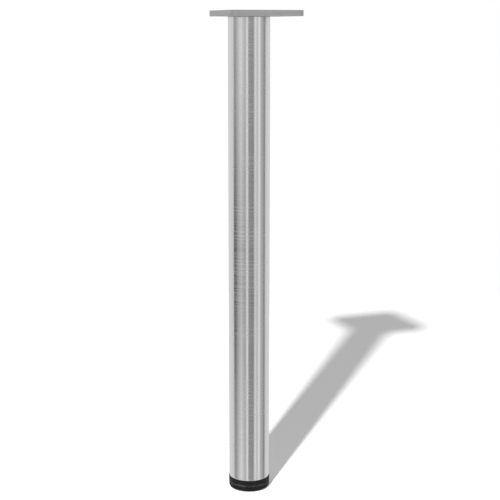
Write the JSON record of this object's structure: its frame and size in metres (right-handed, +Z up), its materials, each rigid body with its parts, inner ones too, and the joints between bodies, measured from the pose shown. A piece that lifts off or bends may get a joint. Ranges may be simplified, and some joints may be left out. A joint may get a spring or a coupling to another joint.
{
  "type": "height adjustable table leg",
  "caption": "Round brushed steel table leg with a square corner mounting plate on top and a black screw-adjusted foot.",
  "frame": {"origin": "on the tube's axis, in the plane of the floor under the foot", "axes": "+Z up along the tube, +X and +Y along the plate's sides, from the leg towards the middle of the table"},
  "size_m": [0.11, 0.11, 0.71],
  "materials": {
    "plate_nickel": "die-cast zinc, brushed and nickel-plated",
    "tube_nickel": "steel, finely brushed round the tube and nickel-plated",
    "zinc_plated_steel": "zinc-plated steel",
    "black_plastic": "fine moulded black plastic",
    "foot_plastic": "fine moulded black plastic"
  },
  "bodies": {
    "leg": {"mounting_plate": "plate_nickel", "leg_tube": "tube_nickel", "grub_screw": "zinc_plated_steel", "end_plug": "black_plastic", "captive_nut": "zinc_plated_steel"},
    "foot": {"foot_stud": "zinc_plated_steel", "foot_cap": "foot_plastic"}
  },
  "joints": [
    {"name": "foot_height", "type": "slide", "parent": "leg", "child": "foot", "axis": [0, 0, -1], "range_m": [0, 0.02]}
  ]
}
